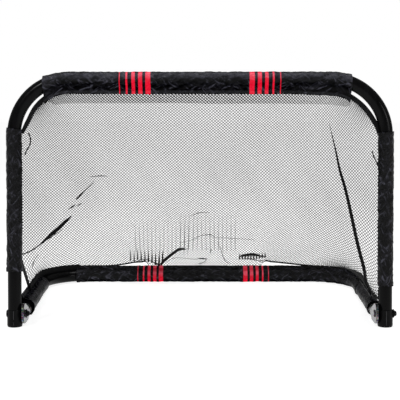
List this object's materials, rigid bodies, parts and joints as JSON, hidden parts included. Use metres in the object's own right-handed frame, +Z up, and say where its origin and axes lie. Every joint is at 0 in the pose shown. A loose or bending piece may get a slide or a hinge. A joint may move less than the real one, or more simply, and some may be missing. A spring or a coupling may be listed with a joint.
{
  "type": "folding goal net",
  "caption": "Folding mini goal: hinged U frames of black steel tube in fabric sleeves, with a fine mesh net sloping from crossbar to rear bar.",
  "frame": {"origin": "on the ground, under the centre of the whole goal's box", "axes": "+Z up, +Y from the mouth to the back of the goal, +X to the right seen from the front"},
  "size_m": [0.9152, 0.6094, 0.5943],
  "materials": {
    "painted_tube": "gloss black powder coat",
    "bare_steel": "bare steel tube",
    "zinc_steel": "bright zinc plate",
    "cap_plastic": "moulded, satin",
    "nut_plastic": "moulded, smooth",
    "sleeve_fabric": "coated polyester weave with printed red stripes",
    "binding_tape": "woven webbing",
    "net_mesh": "fine knitted mesh"
  },
  "bodies": {
    "ground_frame": {"left_arm_tube": "painted_tube", "right_arm_tube": "painted_tube", "rear_bar_tube": "painted_tube", "left_rear_bar_joiner": "bare_steel", "right_rear_bar_joiner": "bare_steel", "rear_bar_sleeve": "sleeve_fabric", "left_arm_sleeve": "sleeve_fabric", "right_arm_sleeve": "sleeve_fabric", "left_rear_corner_tape": "binding_tape", "left_hinge_lug": "zinc_steel", "right_hinge_lug": "zinc_steel", "net_back_panel": "net_mesh", "left_net_side_panel": "net_mesh", "right_net_side_panel": "net_mesh", "left_net_seam_tape": "binding_tape", "right_net_seam_tape": "binding_tape", "net_hem_tape": "binding_tape"},
    "front_frame": {"left_post_tube": "painted_tube", "right_post_tube": "painted_tube", "crossbar_tube": "painted_tube", "left_crossbar_joiner": "bare_steel", "right_crossbar_joiner": "bare_steel", "crossbar_sleeve": "sleeve_fabric", "left_post_sleeve": "sleeve_fabric", "right_post_sleeve": "sleeve_fabric", "left_top_corner_tape": "binding_tape", "right_top_corner_tape": "binding_tape", "left_foot_cap": "cap_plastic", "right_foot_cap": "cap_plastic", "left_hinge_spacer": "zinc_steel", "right_hinge_spacer": "zinc_steel", "left_hinge_washer": "zinc_steel", "right_hinge_washer": "zinc_steel", "left_hinge_bolt": "zinc_steel", "right_hinge_bolt": "zinc_steel", "left_hinge_cap_nut": "nut_plastic", "right_hinge_cap_nut": "nut_plastic"}
  },
  "joints": [
    {"name": "fold", "type": "hinge", "parent": "ground_frame", "child": "front_frame", "pos_m": [0, -0.28125, 0.0299], "axis": [-1, 0, 0], "range_deg": [0, 68], "deforming": ["net_back_panel", "left_net_side_panel", "right_net_side_panel", "left_net_seam_tape", "right_net_seam_tape"]}
  ]
}
